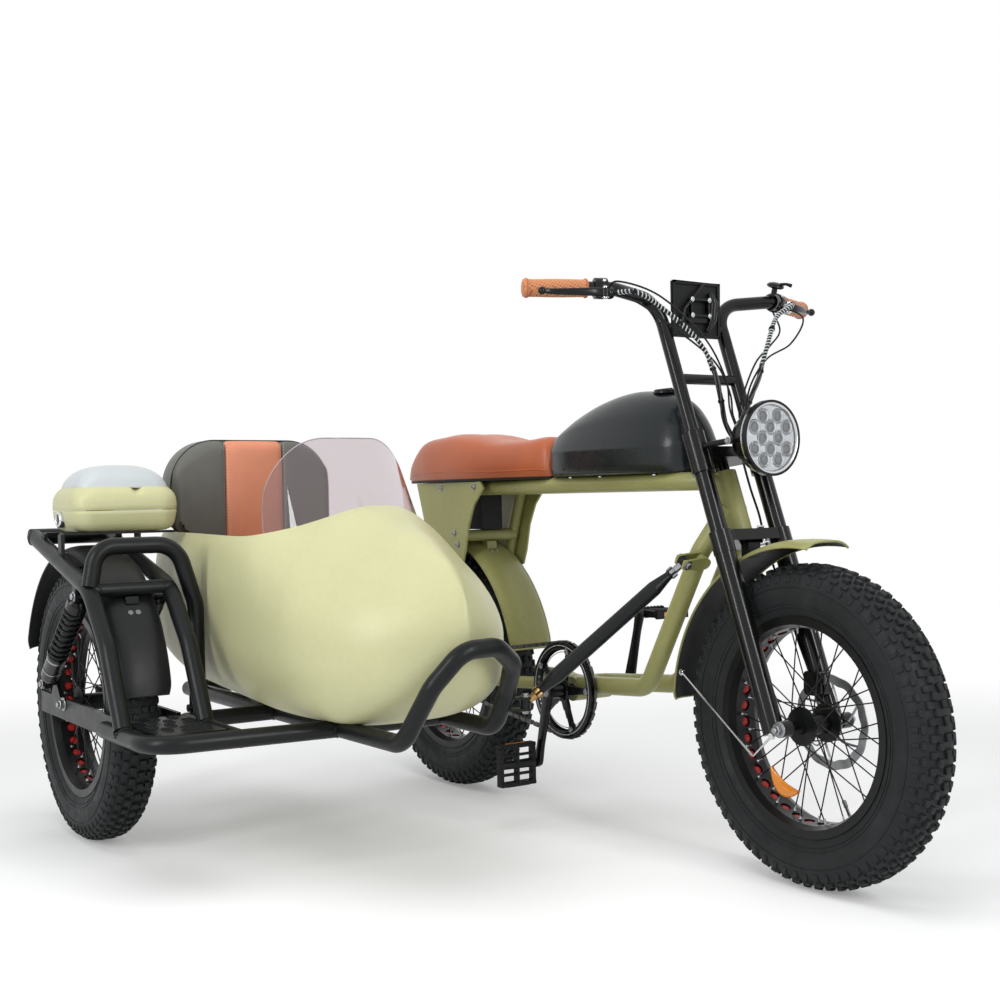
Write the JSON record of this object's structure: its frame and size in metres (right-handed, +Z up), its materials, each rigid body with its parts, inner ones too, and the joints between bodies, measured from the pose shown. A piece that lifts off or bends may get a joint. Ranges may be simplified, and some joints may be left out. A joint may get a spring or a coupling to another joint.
{
  "type": "sidecar motorcycle",
  "caption": "Fat-tyre electric pedal motorcycle with a passenger sidecar, tail box and windshield, standing on its three wheels.",
  "frame": {"origin": "on the floor under the middle of the outline box", "axes": "+X forward along travel, +Y to the left, +Z up"},
  "size_m": [1.8799, 1.443, 1.1599],
  "materials": {
    "tyre": "matte black rubber",
    "black_rim": "gloss black",
    "hub_black": "satin black with steel spokes",
    "disc_steel": "ground",
    "black_frame": "satin black powder coat",
    "green_frame": "satin olive green paint",
    "green_body": "satin pale green paint",
    "tank_black": "satin slate black",
    "tan_leather": "smooth",
    "grey_leather": "grained",
    "grip_leather": "stitched",
    "pad_grey": "smooth pale grey",
    "black_plastic": "moulded",
    "chrome": "polished",
    "lens": "clear",
    "acrylic": "clear smoke",
    "chain_steel": "oiled"
  },
  "bodies": {
    "root": {"bike_frame": "green_frame", "side_plates": "green_frame", "tank": "tank_black", "seat": "tan_leather", "controller_box": "black_plastic", "rear_fender": "green_frame", "chain": "chain_steel", "sidecar_chassis": "black_frame", "step_plate": "black_frame", "wheel_cage": "black_frame", "box_rack": "black_frame", "swingarm": "black_frame", "shocks": "black_plastic", "front_strut": "black_frame", "lower_arms": "black_frame", "sidecar_fender": "black_frame", "tub": "green_body", "seat_bench": "green_body", "windshield": "acrylic", "tub_seat": "tan_leather", "tub_backrest": "grey_leather", "tail_box": "green_body"},
    "steering": {"fork": "black_frame", "handlebar": "black_frame", "grips": "grip_leather", "brake_levers": "black_plastic", "headlight": "black_plastic", "headlight_lens": "lens", "display_plate": "black_plastic", "cables": "black_plastic", "front_fender": "green_frame"},
    "front_wheel": {"front_tyre": "tyre", "front_rim": "black_rim", "front_hub": "hub_black", "front_brake_disc": "disc_steel"},
    "rear_wheel": {"rear_tyre": "tyre", "rear_rim": "black_rim", "rear_hub_motor": "hub_black", "rear_brake_disc": "disc_steel"},
    "sidecar_wheel": {"sidecar_tyre": "tyre", "sidecar_rim": "black_rim", "sidecar_hub": "hub_black"},
    "crank": {"chainring": "black_plastic", "cranks": "black_plastic"},
    "pedal_right": {"right_pedal": "black_plastic"},
    "pedal_left": {"left_pedal": "black_plastic"},
    "lid": {"box_lid": "green_body", "lid_pad": "pad_grey"}
  },
  "joints": [
    {"name": "steering_turn", "type": "hinge", "parent": "root", "child": "steering", "pos_m": [0.44944, 0.33815, 0.652], "axis": [-0.3469, 0, 0.9379], "range_deg": [-35, 35]},
    {"name": "front_roll", "type": "hinge", "parent": "steering", "child": "front_wheel", "pos_m": [0.63616, 0.33815, 0.3], "axis": [0, 1, 0], "continuous": true},
    {"name": "rear_roll", "type": "hinge", "parent": "root", "child": "rear_wheel", "pos_m": [-0.60384, 0.33815, 0.3], "axis": [0, 1, 0], "continuous": true},
    {"name": "sidecar_roll", "type": "hinge", "parent": "root", "child": "sidecar_wheel", "pos_m": [-0.60384, -0.61185, 0.3], "axis": [0, 1, 0], "continuous": true},
    {"name": "crank_turn", "type": "hinge", "parent": "root", "child": "crank", "pos_m": [-0.04684, 0.33815, 0.302], "axis": [0, 1, 0], "continuous": true},
    {"name": "right_pedal_turn", "type": "hinge", "parent": "crank", "child": "pedal_right", "pos_m": [-0.08871, 0.17315, 0.1424], "axis": [0, 1, 0], "continuous": true},
    {"name": "left_pedal_turn", "type": "hinge", "parent": "crank", "child": "pedal_left", "pos_m": [-0.00497, 0.50315, 0.4616], "axis": [0, 1, 0], "continuous": true},
    {"name": "lid_open", "type": "hinge", "parent": "root", "child": "lid", "pos_m": [-0.70784, -0.55685, 0.7213], "axis": [0, -1, 0], "range_deg": [0, 85]}
  ]
}
